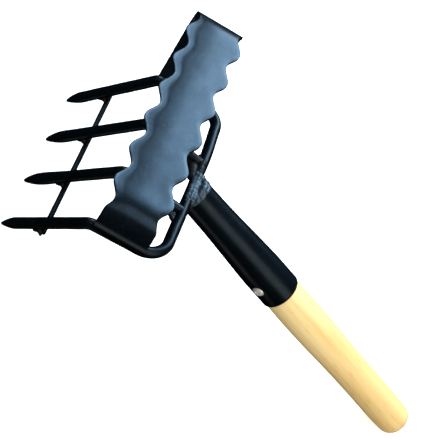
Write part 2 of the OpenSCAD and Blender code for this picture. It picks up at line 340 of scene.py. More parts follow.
def piece(name, mesh, material, nodes, place=TOOL, crease=PLAIN_CREASE):
    """Puts a finished mesh in the row frame as a piece that stands for CAD nodes."""
    mesh.transform(place)
    made = bpy.data.objects.new(name, mesh)
    bpy.context.scene.collection.objects.link(made)
    mesh.materials.clear()
    mesh.materials.append(material)
    mesh.polygons.foreach_set("use_smooth", [True] * len(mesh.polygons))
    mesh.set_sharp_from_angle(angle=math.radians(crease))
    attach(made, "root")
    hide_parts(*nodes)


def to_mesh(bm, name):
    bmesh.ops.recalc_face_normals(bm, faces=bm.faces)
    mesh = bpy.data.meshes.new(name)
    bm.to_mesh(mesh)
    bm.free()
    return mesh


def smoothed(t):
    """An eased step from 0 to 1."""
    t = min(max(t, 0.0), 1.0)
    return t * t * (3 - 2 * t)


def rounded_path(corners, radii, step=1.6):
    """Points along straight runs with a bend of its own radius at each inner corner."""
    points = [corners[0]]
    for i in range(1, len(corners) - 1):
        before = (corners[i] - corners[i - 1]).normalized()
        after = (corners[i + 1] - corners[i]).normalized()
        angle = before.angle(after)
        start = corners[i] - before * radii[i] * math.tan(angle / 2)
        inward = (after - before * before.dot(after)).normalized()
        centre = start + inward * radii[i]
        steps = max(3, math.ceil(angle * radii[i] / step))
        for k in range(steps + 1):
            a = angle * k / steps
            points.append(centre + (before * math.sin(a) - inward * math.cos(a)) * radii[i])
    points.append(corners[-1])
    dense = [points[0]]
    for point in points[1:]:
        start = dense[-1]
        parts = max(1, round((point - start).length / step))
        dense += [start.lerp(point, k / parts) for k in range(1, parts + 1)]
    return dense


def finer_start(path, depth, steps):
    """Adds points close together in the first stretch, for a rounded end."""
    along = (path[1] - path[0]).normalized()
    extra = [path[0] + along * depth * (k / steps) ** 2 for k in range(steps)]
    return extra + [p for p in path if (p - path[0]).length >= depth]


def finer_ends(path, depth, steps):
    path = finer_start(path, depth, steps)
    return finer_start(path[::-1], depth, steps)[::-1]


def skin(bm, rings):
    """Faces between closed rings; a ring of one vertex closes to a point."""
    for low, high in zip(rings, rings[1:]):
        count = max(len(low), len(high))
        for k in range(count):
            j = (k + 1) % count
            if len(low) == 1 and len(high) > 1:
                bm.faces.new((low[0], high[k], high[j]))
            elif len(high) == 1 and len(low) > 1:
                bm.faces.new((low[k], low[j], high[0]))
            elif len(low) > 1:
                bm.faces.new((low[k], low[j], high[j], high[k]))


# How a tube's wobble runs through the noise, and how far apart two seeds are in it
SEED_STRIDE = (7.3, 3.1, 5.7)
WOBBLE_ALONG = 0.11
WOBBLE_ROUND = 0.8


def tube(bm, path, radius_at, sides, wobble, seed):
    """Skins rings round a path; radius_at(distance from the start, from the end)."""
    run = [0.0]
    for a, b in zip(path, path[1:]):
        run.append(run[-1] + (b - a).length)
    shift = Vector([seed * stride for stride in SEED_STRIDE])
    normal = None
    rings = []
    for i, point in enumerate(path):
        ahead = path[min(i + 1, len(path) - 1)]
        behind = path[max(i - 1, 0)]
        along = (ahead - behind).normalized()
        if normal is None:
            normal = along.orthogonal()
        normal = (normal - along * normal.dot(along)).normalized()
        side = along.cross(normal)
        radius = radius_at(run[i], run[-1] - run[i])
        ring = []
        for k in range(sides):
            a = 2 * math.pi * k / sides
            out = normal * math.cos(a) + side * math.sin(a)
            place = point * WOBBLE_ALONG + out * WOBBLE_ROUND + shift
            r = max(radius + wobble * noise.noise(place), THINNEST_R)
            ring.append(bm.verts.new((point + out * r) * MM))
        rings.append(ring)
    skin(bm, rings)
    for ring in (rings[0], rings[-1]):
        middle = sum((v.co for v in ring), Vector()) / sides
        centre = bm.verts.new(middle)
        for k in range(sides):
            bm.faces.new((ring[k], ring[(k + 1) % sides], centre))


def lathe(bm, profile, sides, bend=None):
    """Turns (radius, height) points about Z; a closed profile when both ends meet the axis."""
    rings = []
    for radius, height in profile:
        if radius < 1e-6:
            rings.append([bm.verts.new((0, 0, height * MM))])
            continue
        ring = []
        for k in range(sides):
            a = 2 * math.pi * k / sides
            r = radius + (bend(radius, height, a) if bend else 0.0)
            ring.append(bm.verts.new((r * math.cos(a) * MM, r * math.sin(a) * MM, height * MM)))
        rings.append(ring)
    skin(bm, rings)
    return rings


def smooth_line(points, step):
    """A line through (radius, height) points, with its corners eased by cubic spans."""
    out = []
    for i in range(len(points) - 1):
        p0 = points[max(i - 1, 0)]
        p1, p2 = points[i], points[i + 1]
        p3 = points[min(i + 2, len(points) - 1)]
        width = p2[1] - p1[1]
        m1 = (p2[0] - p0[0]) / max(p2[1] - p0[1], 1e-6) * width
        m2 = (p3[0] - p1[0]) / max(p3[1] - p1[1], 1e-6) * width
        parts = max(2, round(abs(width) / step))
        for k in range(parts):
            t = k / parts
            r = ((2 * t ** 3 - 3 * t * t + 1) * p1[0] + (t ** 3 - 2 * t * t + t) * m1
                 + (3 * t * t - 2 * t ** 3) * p2[0] + (t ** 3 - t * t) * m2)
            out.append((r, p1[1] + width * t))
    out.append(points[-1])
    return out


FINER_RIPPLE = 2.3
FINER_SHARE = 0.5


def weld_metal(name, blobs, voxel, ripple, ripple_size, relax, front=None):
    """Overlapping blobs fused by a voxel remesh, relaxed, then rippled.

    Each blob is (centre, radius, stretch, along). Below the height front[1] nothing reaches
    farther forward than front[0].
    """
    bm = bmesh.new()
    for centre, radius, stretch, along in blobs:
        turn = along.to_track_quat("X", "Z").to_matrix().to_4x4()
        size = Matrix.Diagonal((radius * stretch * MM, radius * MM, radius * MM, 1))
        bmesh.ops.create_icosphere(bm, subdivisions=3, radius=1.0,
                                   matrix=Matrix.Translation(centre * MM) @ turn @ size)
    raw = bpy.data.objects.new(name + "_raw", to_mesh(bm, name + "_raw"))
    bpy.context.scene.collection.objects.link(raw)
    fuse = raw.modifiers.new("fuse", "REMESH")
    fuse.mode = "VOXEL"
    fuse.voxel_size = voxel * MM
    calm = raw.modifiers.new("calm", "SMOOTH")
    calm.factor = 0.5
    calm.iterations = relax
    graph = bpy.context.evaluated_depsgraph_get()
    mesh = bpy.data.meshes.new_from_object(raw.evaluated_get(graph))
    mesh.name = name
    bpy.data.objects.remove(raw)
    normals = [v.normal.copy() for v in mesh.vertices]
    for v, n in zip(mesh.vertices, normals):
        place = v.co / MM
        push = (noise.noise(place / ripple_size)
                + FINER_SHARE * noise.noise(place * FINER_RIPPLE / ripple_size))
        v.co += n * push * ripple * MM
        if front is not None and place.z < front[1]:
            v.co.x = max(v.co.x, front[0] * MM)
    return mesh


# ---------------------------------------------------------------- bars and tines

BAR_SIDES = 36
BAR_WOBBLE = 0.12
ROD_SIDES = 24
ROD_WOBBLE = 0.10
# The stretch of an end that has closer rings, and how many
POINT_FINE = (3.0, 8)
ROD_FINE = (0.8, 5)
# An inner bar ends this far in front of the bow's centre line
INNER_END_SHORT = 1.0
TINE_SLOPE = math.atan2(BAR_Z - TIP_Z, TIP_X - ROOT_X)


def tine_tip(y):
    return Vector((-TIP_X, y, TIP_Z))


def tine_root(y):
    return Vector((-ROOT_X, y, BAR_Z))


def point_radius(d):
    """A tine's radius at a distance from its very end: blunted, drawn out, slightly swollen."""
    if d < BLUNT_L:
        return math.sqrt(max(2 * TIP_R * d - d * d, THINNEST_R ** 2))
    for (a, ra), (b, rb) in zip(POINT_PROFILE, POINT_PROFILE[1:]):
        if d <= b:
            return ra + (rb - ra) * ((d - a) / (b - a))
    return BAR_R


def tine_start(tip_y, root_y):
    """The very end of a tine: the blunted tip reaches past its own centre."""
    tip = tine_tip(tip_y)
    return tip + (tip - tine_root(root_y)).normalized() * TIP_R


def outer_bar():
    """Both outer tines, the two sides and the bow, which lags behind at its left corner."""
    corners = [tine_start(OUTER_TIP_Y, SIDE_Y), tine_root(SIDE_Y),
               Vector((BOW_X - BOW_LAG, CORNER_Y, BAR_Z)), Vector((BOW_X, BOW_LAG_FROM_Y, BAR_Z)),
               Vector((BOW_X, -CORNER_Y, BAR_Z)), tine_root(-SIDE_Y),
               tine_start(-OUTER_TIP_Y, -SIDE_Y)]
    radii = [0, ROOT_BEND_R, LEFT_CORNER_R, LAG_BEND_R, RIGHT_CORNER_R, ROOT_BEND_R, 0]
    path = finer_ends(rounded_path(corners, radii), *POINT_FINE)
    bm = bmesh.new()
    tube(bm, path, lambda a, b: min(point_radius(a), point_radius(b)),
         BAR_SIDES, BAR_WOBBLE, seed=1)
    return to_mesh(bm, "outer_bar")


def inner_bar(side, joint_y, seed):
    """An inner tine keeps its line a little higher, then its bar slopes down to the bow."""
    start = tine_start(side * INNER_TIP_Y, side * INNER_Y)
    root = tine_root(side * INNER_Y)
    root += (root - start) * (INNER_RISE / (root.z - start.z))
    corners = [start, root, Vector((BOW_X - INNER_END_SHORT, side * joint_y, BAR_Z))]
    path = finer_start(rounded_path(corners, [0, ROOT_BEND_R, 0]), *POINT_FINE)
    bm = bmesh.new()
    tube(bm, path, lambda a, b: point_radius(a), BAR_SIDES, BAR_WOBBLE, seed)
    return to_mesh(bm, "inner_bar")


def off_tine(from_tip, height, y):
    """A place at a distance from the tine points and a height off the tines' centre lines."""
    return Vector((-TIP_X + from_tip * math.cos(TINE_SLOPE) + height * math.sin(TINE_SLOPE), y,
                   TIP_Z + from_tip * math.sin(TINE_SLOPE) - height * math.cos(TINE_SLOPE)))


def rod_from_tip(y):
    """The rod's distance from the tine points, which changes along it."""
    return ROD_MIDDLE + (ROD_LEFT - ROD_RIGHT) * y / ROD_L


def rod_radius(from_start, from_end):
    """The rod's radius, with both ends rounded off."""
    edge = min(from_start, from_end)
    if edge > ROD_END_ROUND:
        return ROD_R
    drop = ROD_END_ROUND ** 2 - (ROD_END_ROUND - edge) ** 2
    return ROD_R - ROD_END_ROUND + math.sqrt(max(drop, 0))


def tie_rod():
    gap = BAR_R + ROD_R
    start = off_tine(ROD_RIGHT, gap, -ROD_L / 2)
    end = off_tine(ROD_LEFT, gap, ROD_L / 2)
    path = finer_ends(rounded_path([start, end], [0, 0]), *ROD_FINE)
    bm = bmesh.new()
    tube(bm, path, rod_radius, ROD_SIDES, ROD_WOBBLE, seed=5)
    return to_mesh(bm, "tie_rod")


piece("outer_bar_and_bow", outer_bar(), BLACK, ["outer_tine_bar"])
piece("left_inner_bar", inner_bar(1, LEFT_JOINT_Y, 2), BLACK,
      ["left_inner_tine_bar"])
piece("right_inner_bar", inner_bar(-1, RIGHT_JOINT_Y, 3), BLACK,
      ["right_inner_tine_bar"])
piece("cross_rod", tie_rod(), ROD_PAINT, ["tie_rod"])

# ---------------------------------------------------------------- blade

FOLD_Y = BLADE_FLAT_L / 2
FOOT_LAP = BAR_R * 0.68
FOOT_Y = CORNER_Y + (SIDE_Y - CORNER_Y) * BOW_X / (BOW_X + ROOT_X)
LEG_REACH = Vector((FOLD_Y - FOOT_Y, -FOLD_R - BAR_Z))
LEG_TILT = (math.atan2(LEG_REACH.x, LEG_REACH.y)
            + math.asin((FOLD_R - FOOT_LAP) / LEG_REACH.length))
LEG_L = math.sqrt(LEG_REACH.length_squared - (FOLD_R - FOOT_LAP) ** 2)

FACE_STEPS = 74
FOLD_STEPS = 40
LEG_STEPS = 22


def half_line():
    """Outer line of half the strip, from the middle of the face to the foot: (y, z)."""
    line = [Vector((FOLD_Y * k / FACE_STEPS, 0.0)) for k in range(FACE_STEPS)]
    turn = math.pi / 2 + LEG_TILT
    for k in range(FOLD_STEPS + 1):
        a = math.pi / 2 - turn * k / FOLD_STEPS
        n = Vector((math.cos(a), math.sin(a)))
        line.append(Vector((FOLD_Y + FOLD_R * n.x, -FOLD_R + FOLD_R * n.y)))
    down = Vector((-math.sin(LEG_TILT), -math.cos(LEG_TILT)))
    top = line[-1]
    line += [top + down * (LEG_L * k / LEG_STEPS) for k in range(1, LEG_STEPS + 1)]
    return line


def averaged(places, reach, rounds):
    """A moving average along half a line that is mirrored at its first place."""
    for _ in range(rounds):
        mirrored = [Vector((-p.x, p.y)) for p in places[reach:0:-1]] + places
        out = []
        for i in range(len(places)):
            here = min(reach, len(places) - 1 - i)
            near = mirrored[i + reach - here: i + reach + here + 1]
            out.append(sum(near, Vector((0, 0))) / len(near))
        places = out
    return places


def eased_line(places, step=0.9, reach=8, rounds=2):
    """The line at even steps, its folds running softly into the straights: (y, z, normal)."""
    even = [places[0]]
    for a, b in zip(places, places[1:]):
        while (b - even[-1]).length >= step and (b - even[-1]).dot(b - a) > 0:
            even.append(even[-1] + (b - even[-1]).normalized() * step)
    if (places[-1] - even[-1]).length > step / 3:
        even.append(places[-1])
    # The part that averaging takes away is averaged too and put back, so the line keeps its size
    calm = averaged(even, reach, rounds)
    back = averaged([a - b for a, b in zip(even, calm)], reach, rounds)
    even = [a + b for a, b in zip(calm, back)]
    soft = []
    for i, place in enumerate(even):
        along = even[min(i + 1, len(even) - 1)] - even[max(i - 1, 0)]
        normal = Vector((-along.y, along.x)).normalized() if i else Vector((0, 1))
        soft.append((place.x, place.y, normal))
    return soft


def strip_line():
    """The whole outer line, from the left foot over the face to the right foot."""
    half = eased_line(half_line())
    return half[::-1] + [(-y, z, Vector((-n.x, n.y))) for y, z, n in half[1:]]


def scalloped_half(y, z):
    """Half width of the strip: lobes and hollows along the face, straight on the legs."""
    if z < SCALLOP_FLOOR or abs(y) > SCALLOP_PITCH * (SCALLOP_COUNT + 0.5) / 2:
        return BLADE_W / 2
    phase = (y + SCALLOP_COUNT * SCALLOP_PITCH / 2) / SCALLOP_PITCH
    return BLADE_W / 2 - SCALLOP_DEPTH / 2 * math.cos(2 * math.pi * phase)


# The left bevel: its width, how it widens at the lobes, and its slope at the two ends
LEFT_BEVEL = 4.6
LEFT_WIDENS = 0.5
LEFT_WIDENS_FROM = 15.0
LEFT_SLOPE = 0.17
LOW_LOBES_SLOPE = 0.122
SLOPE_TURNS_AT_Y = 22.0
SLOPE_TURNS_OVER = 40.0
# The right edge is only dressed
RIGHT_BEVEL = 2.6
RIGHT_DROP = 0.36
# A bevel by shares of its width from the edge: straight, then easing out, its corner rounded
BEVEL_STRAIGHT = 0.7
BEVEL_REACH = 1.3
CORNER_REACH = 0.16
CORNER_DROP = 0.25
EDGE_STEPS = (0.0, 0.06, CORNER_REACH, 0.4, 0.65, 0.8, 0.95, 1.1, BEVEL_REACH)
LEG_BEVEL_SHARE = 0.12
# The edges under the bevels
EDGE_DROP = 1.3
EDGE_BULGE = 0.12
EDGE_TOP = 0.2
EDGE_FOOT = 0.35
EDGE_IN = 0.2
# The soft ridge along the face
RIDGE_AT = -2.0
RIDGE_LEFT = 0.045
RIDGE_RIGHT = 0.033
RIDGE_SOFT = 2.6
RIDGE_LIFT = 0.35
FACE_ENDS_AT = 84.0
FACE_FADES_OVER = 14.0
# Hand work: ripples of the edges and slow waves of the surface
EDGE_RIPPLE = 0.16
EDGE_RIPPLE_STEP = 0.31
SURFACE_WAVE = 0.05
WAVE_ACROSS = 0.06
WAVE_STEP = 0.035
# Places in the noise, far enough apart to be independent
LEFT_LANE, FACE_LANE, RIGHT_LANE = 2.0, 4.0, 9.0
# Columns of faces over the flat and over the back
FACE_COLUMNS = 12
BACK_COLUMNS = 9


def ground(share, drop):
    """How far the face is ground away, at a share of the bevel's width from its edge."""
    if share < BEVEL_STRAIGHT:
        eased = 1 - share
    else:
        eased = max(BEVEL_REACH - share, 0.0) ** 2 / (2 * (BEVEL_REACH - BEVEL_STRAIGHT))
    corner = CORNER_DROP * max(1 - share / CORNER_REACH, 0.0) ** 2
    return drop * (eased + corner)


def soft_slope(x, slope):
    """A slope that starts softly at zero and is straight beyond."""
    t = x / RIDGE_SOFT
    return slope * RIDGE_SOFT * (math.log1p(math.exp(t)) if t < 30 else t)


def crown(w):
    """The strip is bent very slightly along its length, with a soft ridge off its middle."""
    return (RIDGE_LIFT - soft_slope(RIDGE_AT - w, RIDGE_LEFT)
            - soft_slope(w - RIDGE_AT, RIDGE_RIGHT))


def left_slope(y):
    """The left bevel is ground a little flatter from the middle of the blade down."""
    share = smoothed((SLOPE_TURNS_AT_Y - y) / SLOPE_TURNS_OVER)
    return LEFT_SLOPE + (LOW_LOBES_SLOPE - LEFT_SLOPE) * share


def on_face(y, z):
    """1 along the face, fading to 0 round the folds."""
    if z <= 2 * SCALLOP_FLOOR:
        return 0.0
    return 1 - smoothed((abs(y) - FACE_ENDS_AT) / FACE_FADES_OVER)


def strip_section(low, high, left_w, left_drop, right_drop):
    """The strip's closed section: (place across, height over the face)."""
    a = low + BEVEL_REACH * left_w
    b = high - BEVEL_REACH * RIGHT_BEVEL
    left = [(low + e * left_w, -ground(e, left_drop)) for e in EDGE_STEPS]
    middle = [(a + (b - a) * k / FACE_COLUMNS, 0.0) for k in range(1, FACE_COLUMNS)]
    right = [(high - e * RIGHT_BEVEL, -ground(e, right_drop)) for e in reversed(EDGE_STEPS)]
    right_edge = [(high + EDGE_BULGE, -EDGE_DROP * right_drop - EDGE_TOP),
                  (high + EDGE_BULGE, -BLADE_T + EDGE_FOOT), (high - EDGE_IN, -BLADE_T)]
    back = [(high + (low - high) * k / BACK_COLUMNS, -BLADE_T) for k in range(1, BACK_COLUMNS)]
    left_edge = [(low + EDGE_IN, -BLADE_T), (low - EDGE_BULGE, -BLADE_T + EDGE_FOOT),
                 (low - EDGE_BULGE, -EDGE_DROP * left_drop - EDGE_TOP)]
    return left + middle + right + right_edge + back + left_edge


def blade_strip():
    line = strip_line()
    halves = [scalloped_half(y, z) for y, z, _ in line]
    bm = bmesh.new()
    rows = []
    for i, (y, z, n) in enumerate(line):
        near = halves[max(0, i - 1): i + 2]
        half = sum(near) / len(near)
        face = on_face(y, z)
        bevelled = max(face, LEG_BEVEL_SHARE)
        along = i * EDGE_RIPPLE_STEP
        low = -half + EDGE_RIPPLE * noise.noise(Vector((along, LEFT_LANE, 0.0)))
        high = half + EDGE_RIPPLE * noise.noise(Vector((along, RIGHT_LANE, 0.0)))
        left_w = LEFT_BEVEL + LEFT_WIDENS * max(half - LEFT_WIDENS_FROM, 0.0) * face
        row = []
        for w, height in strip_section(low, high, left_w, left_slope(y) * left_w * bevelled,
                                       RIGHT_DROP * bevelled):
            place = Vector((w * WAVE_ACROSS, i * WAVE_STEP, FACE_LANE))
            off = height + crown(w) * face + SURFACE_WAVE * noise.noise(place)
            row.append(bm.verts.new((
                (w + BLADE_SHIFT.x) * MM,
                (y + BLADE_SHIFT.y + n.x * off) * MM,
                (z + n.y * off) * MM)))
        rows.append(row)
    skin(bm, rows)
    bm.faces.new(rows[0])
    bm.faces.new(rows[-1])
    return to_mesh(bm, "blade_strip")


piece("scalloped_strip", blade_strip(), BLADE, ["blade"], crease=BLADE_CREASE)

# ---------------------------------------------------------------- socket, handle and screw

AXIS_SIDES = 112
UNEVEN_DOWN = 0.03
MERGE = 1e-6
# In the grip's own frame, angles run from on top towards the right: the screw sits on the
# right side, a little below
SCREW_ANGLE = math.pi / 2 + SCREW_TURN
SEAT = SOCKET_START + 1.8
SOCKET_LINE = [(12.22, SEAT), (12.35, 16), (12.6, 30), (13.2, 45), (13.9, 60),
               (14.55, 74), (SOCKET_R, 84), (SOCKET_R, 94), (SOCKET_R, MOUTH - 0.6)]
MOUTH_RIM = [(14.62, MOUTH - 0.15), (14.2, MOUTH), (13.75, MOUTH - 0.1), (13.5, MOUTH - 0.5)]
MOUTH_LEAN = 1.3
MOUTH_SIDE = math.radians(49)
MOUTH_EASE = 14.0
DENT_DEPTH = 1.1
DENT_REACH = 4.125
DRAWN_UNEVEN = 0.06
SOCKET_STEP = 1.2
BORE_STEP = 4.0
BORE_END = MOUTH - 2


def dent(radius, height, angle):
    """The socket's wall is drawn in round the screw, and is slightly uneven."""
    turn = (angle - SCREW_ANGLE + math.pi) % (2 * math.pi) - math.pi
    far = math.hypot(turn * radius, height - SCREW_AT)
    hollow = -DENT_DEPTH * math.exp(-(far / DENT_REACH) ** 4)
    slow = noise.noise(Vector((math.cos(angle), math.sin(angle), height * UNEVEN_DOWN)))
    return hollow + DRAWN_UNEVEN * slow


def socket():
    outer = smooth_line(SOCKET_LINE, SOCKET_STEP)
    bore = reversed(smooth_line(SOCKET_LINE, BORE_STEP))
    inside = [(r - WALL, h) for r, h in bore if h < BORE_END]
    bm = bmesh.new()
    lathe(bm, outer + MOUTH_RIM + inside + [outer[0]], AXIS_SIDES, dent)
    bmesh.ops.remove_doubles(bm, verts=bm.verts, dist=MERGE)
    for v in bm.verts:
        near_mouth = max(v.co.z / MM - MOUTH + MOUTH_EASE, 0.0) / MOUTH_EASE
        facing = math.cos(math.atan2(v.co.y, v.co.x) - MOUTH_SIDE)
        v.co.z += MOUTH_LEAN * facing * near_mouth * MM
    return to_mesh(bm, "socket")


HANDLE_START = MOUTH - 14
HANDLE_LINE = [(13.30, HANDLE_START), (13.34, MOUTH), (13.75, MOUTH + 3), (13.95, MOUTH + 10),
               (14.15, MOUTH + 20), (14.2, MOUTH + 30), (14.1, MOUTH + 40), (13.75, MOUTH + 54),
               (13.4, MOUTH + 66), (13.12, MOUTH + 78), (13.0, MOUTH + 92), (13.0, MOUTH + 112),
               (13.0, GRIP_END - 26), (12.9, GRIP_END - 18), (12.5, GRIP_END - 9.5)]
BUTT_R = 12.5
BUTT_ROUND = 9.5
BUTT_STEPS = 14
BUTT_CROWN = [(2.0, GRIP_END + 0.05), (0.9, GRIP_END + 0.08), (0, GRIP_END + 0.08)]
TURNED_UNEVEN = 0.08
TURNED_ROUND = 0.6
HANDLE_STEP = 1.5
INNER_END_R = 8


def turned(radius, height, angle):
    """Hand turning leaves the grip very slightly uneven."""
    place = Vector((math.cos(angle) * TURNED_ROUND, math.sin(angle) * TURNED_ROUND,
                    height * UNEVEN_DOWN))
    return TURNED_UNEVEN * noise.noise(place)


def handle():
    body = smooth_line(HANDLE_LINE, HANDLE_STEP)
    butt = []
    for k in range(1, BUTT_STEPS + 1):
        a = math.pi / 2 * k / BUTT_STEPS
        butt.append((BUTT_R - BUTT_ROUND * (1 - math.cos(a)),
                     GRIP_END - BUTT_ROUND + BUTT_ROUND * math.sin(a)))
    inner_end = [(0, HANDLE_START), (INNER_END_R, HANDLE_START)]
    bm = bmesh.new()
    lathe(bm, inner_end + body + butt + BUTT_CROWN, AXIS_SIDES, turned)
    return to_mesh(bm, "handle")


SCREW_SIDES = 64
SCREW_SINK = 0.75
HEAD_R = 4.2
HEAD_H = 2.2
DOME_STEPS = 12
# The shank and the head's underside, up to where the dome starts
SHANK_LINE = [(0, -6), (1.8, -6), (1.8, -0.35), (HEAD_R - 0.25, -0.35), (HEAD_R, -0.1)]
CROSS_HALF_W = 0.42
CROSS_WALL = 0.3
CROSS_REACH = 2.3
CROSS_DEPTH = 0.95


def screw():
    """A domed head with a cross recess, on a short piece of its shank."""
    ball = (HEAD_H ** 2 + HEAD_R ** 2) / (2 * HEAD_H)
    dome = []
    for k in range(DOME_STEPS + 1):
        r = HEAD_R * (1 - k / DOME_STEPS)
        dome.append((r, HEAD_H - ball + math.sqrt(ball * ball - r * r)))
    bm = bmesh.new()
    rings = lathe(bm, SHANK_LINE + dome, SCREW_SIDES)
    for ring in rings[len(SHANK_LINE):]:
        for v in ring:
            x, y = v.co.x / MM, v.co.y / MM
            wall = max(min(abs(x), abs(y)) - CROSS_HALF_W, 0)
            reach = math.hypot(x, y)
            if reach < CROSS_REACH and wall < CROSS_WALL:
                v.co.z -= (CROSS_DEPTH * (1 - wall / CROSS_WALL)
                           * (1 - (reach / CROSS_REACH) ** 3) * MM)
    return to_mesh(bm, "screw")


def screw_frame():
    """Local Z points out of the socket's wall at the screw."""
    out = Vector((math.cos(SCREW_ANGLE), math.sin(SCREW_ANGLE), 0))
    turn = Matrix((UP, out.cross(UP), out)).transposed().to_4x4()
    seat = out * (SOCKET_R - SCREW_SINK) + UP * SCREW_AT
    return GRIP_FRAME @ Matrix.Translation(seat * MM) @ turn


piece("tapered_socket", socket(), BLACK, ["socket"], GRIP_FRAME)
piece("wooden_grip", handle(), WOOD, ["handle"], GRIP_FRAME)
piece("domed_screw", screw(), ZINC, ["handle_screw"], screw_frame(),
      crease=SCREW_CREASE)

# ---------------------------------------------------------------- welds

# The seed of the lumps' scatter; the welds draw from it in the order they are made below
WELD_SEED = 11
dice = random.Random(WELD_SEED)


def around(spread):
    """A random shift either way."""
    return dice.uniform(-spread, spread)


RING_SPREAD = 0.5


def ring_of_blobs(start, turn, parts, down, reach, sizes, stretch):
    """Blobs round the socket's axis, over a turn in degrees that may close on itself."""
    blobs = []
    for k in range(parts if turn == 360 else parts + 1):
        a = math.radians(start + turn * k / parts)
        out = AXIS_UP * math.cos(a) + ALONG_BLADE * math.sin(a)
        tangent = ALONG_BLADE * math.cos(a) - AXIS_UP * math.sin(a)
        place = AXIS_START + AXIS_DIR * (down + around(RING_SPREAD)) + out * reach
        blobs.append((place, dice.uniform(*sizes), stretch, tangent))
    return blobs


PLUG_BLOBS = 4
# Rings round the axis: start and turn in degrees, parts, distance down the axis and off it,
# least and greatest radius of a lump, and its stretch along the ring
RINGS = (
    (-180, 360, 46, SEAT, 11.5, (1.35, 1.85), 0.8),
    (-115, 230, 23, SEAT - 2.6, 10.6, (1.9, 2.5), 0.9),
)
OVER_BOW_STEPS = 14
OVER_BOW_START_Y = -16.5
OVER_BOW_L = 26.5
# Rows along the bow: (distance behind its centre, height over it, shift along it)
OVER_BOW_ROWS = ((3.4, 2.2, 0.8), (0.9, 3.2, 0.0), (-1.2, 2.6, 0.0))
RUN_OUT_BLOBS = 4


def socket_weld():
    """Fills the socket's small end and runs in ripples between it and the bow, and over it."""
    blobs = []
    for k in range(PLUG_BLOBS):
        blobs.append((AXIS_START + AXIS_DIR * (0.5 + 1.8 * k), 9.6 + 0.35 * k, 0.42, AXIS_DIR))
    for ring in RINGS:
        blobs += ring_of_blobs(*ring)
    for k in range(OVER_BOW_STEPS + 1):
        y = OVER_BOW_START_Y + OVER_BOW_L * k / OVER_BOW_STEPS
        full = min(0.55 + 0.13 * k, 1.0)
        for behind, lift, shift in OVER_BOW_ROWS:
            place = Vector((BOW_X + behind + around(0.4), y + shift, BAR_Z + lift + around(0.2)))
            blobs.append((place, dice.uniform(1.7, 2.2) * full, 0.8, ALONG_BLADE))
    for side in (-1, 1):
        for k in range(RUN_OUT_BLOBS):
            place = Vector((BOW_X + 2.4 + 0.3 * k, side * (10.5 + 1.3 * k), BAR_Z - 1.2))
            blobs.append((place, 2.5 - 0.3 * k, 1.0, ALONG_BLADE))
    return weld_metal("socket_weld_bead", blobs, voxel=0.42, ripple=0.16, ripple_size=2.2,
                      relax=11, front=(BOW_X - 0.2, BAR_Z - 1.5))


def bead(start, end, radius, count, spread):
    """A row of overlapping lumps laid from one place to another, thinner at its ends."""
    along = (end - start).normalized()
    blobs = []
    for k in range(count):
        place = start.lerp(end, k / (count - 1))
        drift = Vector([around(spread) for _ in range(3)])
        taper = 1 - 0.25 * abs(2 * k / (count - 1) - 1) ** 3
        blobs.append((place + drift, radius * taper * dice.uniform(0.88, 1.1),
                      dice.uniform(0.7, 1.0), along))
    return blobs


# Beads at the inner bars' joints, by distance behind the bow's front side, y, and height over
# the bars' plane: start, end, radius, count of lumps and their spread
BOW_FRONT = BOW_X - BAR_R
INNER_BEADS = (
    ((-2.6, 20.0, -1.0), (1.0, 6.0, 0.3), 3.6, 15, 0.15),
    ((-5.6, 20.4, -0.8), (-0.4, 12.0, -1.0), 3.0, 9, 0.15),
    ((3.6, 22.8, 1.9), (4.0, 9.5, 1.9), 3.0, 13, 0.15),
    ((-9.0, 22.6, 3.2), (1.0, 20.6, 2.4), 2.7, 10, 0.12),
    ((0.2, 25.6, 0.6), (0.9, 29.0, 0.2), 1.7, 4, 0.15),
    ((-5.2, -28.4, 0.4), (0.9, -35.0, 0.2), 1.8, 8, 0.2),
    ((-2.0, -29.0, 0.0), (0.8, -32.4, 0.0), 2.3, 4, 0.15),
)


def inner_bar_welds():
    corner = Vector((BOW_FRONT, 0, BAR_Z))
    blobs = []
    for start, end, radius, count, spread in INNER_BEADS:
        blobs += bead(corner + Vector(start), corner + Vector(end), radius, count, spread)
    return weld_metal("inner_bar_weld_beads", blobs, voxel=0.4, ripple=0.14, ripple_size=1.8,
                      relax=8)


FOOT_BEAD_HALF_L = 10.0
FOOT_BEAD_IN = 1.6
FOOT_BEAD_UP = 0.2
FOOT_BEAD = (1.9, 15, 0.25)     # radius, count of lumps and their spread


def foot_welds():
    z = BAR_Z + BAR_R + FOOT_BEAD_UP
    blobs = []
    for side in (-1, 1):
        y = side * (FOOT_Y - FOOT_BEAD_IN)
        blobs += bead(Vector((-FOOT_BEAD_HALF_L, y, z)), Vector((FOOT_BEAD_HALF_L, y, z)),
                      *FOOT_BEAD)
    return weld_metal("foot_weld_beads", blobs, voxel=0.4, ripple=0.18, ripple_size=1.3,
                      relax=2)


def y_at_rod(tip_y, root_y):
    """Where a tine is along the blade at the height of the rod."""
    reach = ROD_MIDDLE * math.cos(TINE_SLOPE) / (TIP_X - ROOT_X)
    return tip_y + (root_y - tip_y) * reach


ROD_BEAD_STEPS = 5
ROD_BEAD_Y = 2.6
ROD_BEAD_L = 5.6
# A web down the tine's side, one along the rod and a drop behind it: count of lumps, then
# first value and change per lump of the distance from the rod, of y and of the radius, with
# the height over the tine's side and the stretch
ROD_WEBS = (
    (5, (-1.4, -1.2), (-3.2, 0.25), (1.7, -0.22), -0.4, 1.0),
    (4, (-1.2, 0.3), (-3.2, -0.9), (1.8, -0.3), 1.1, 1.0),
    (1, (2.0, 0.0), (-2.0, 0.0), (1.3, 0.0), 0.3, 1.2),
)


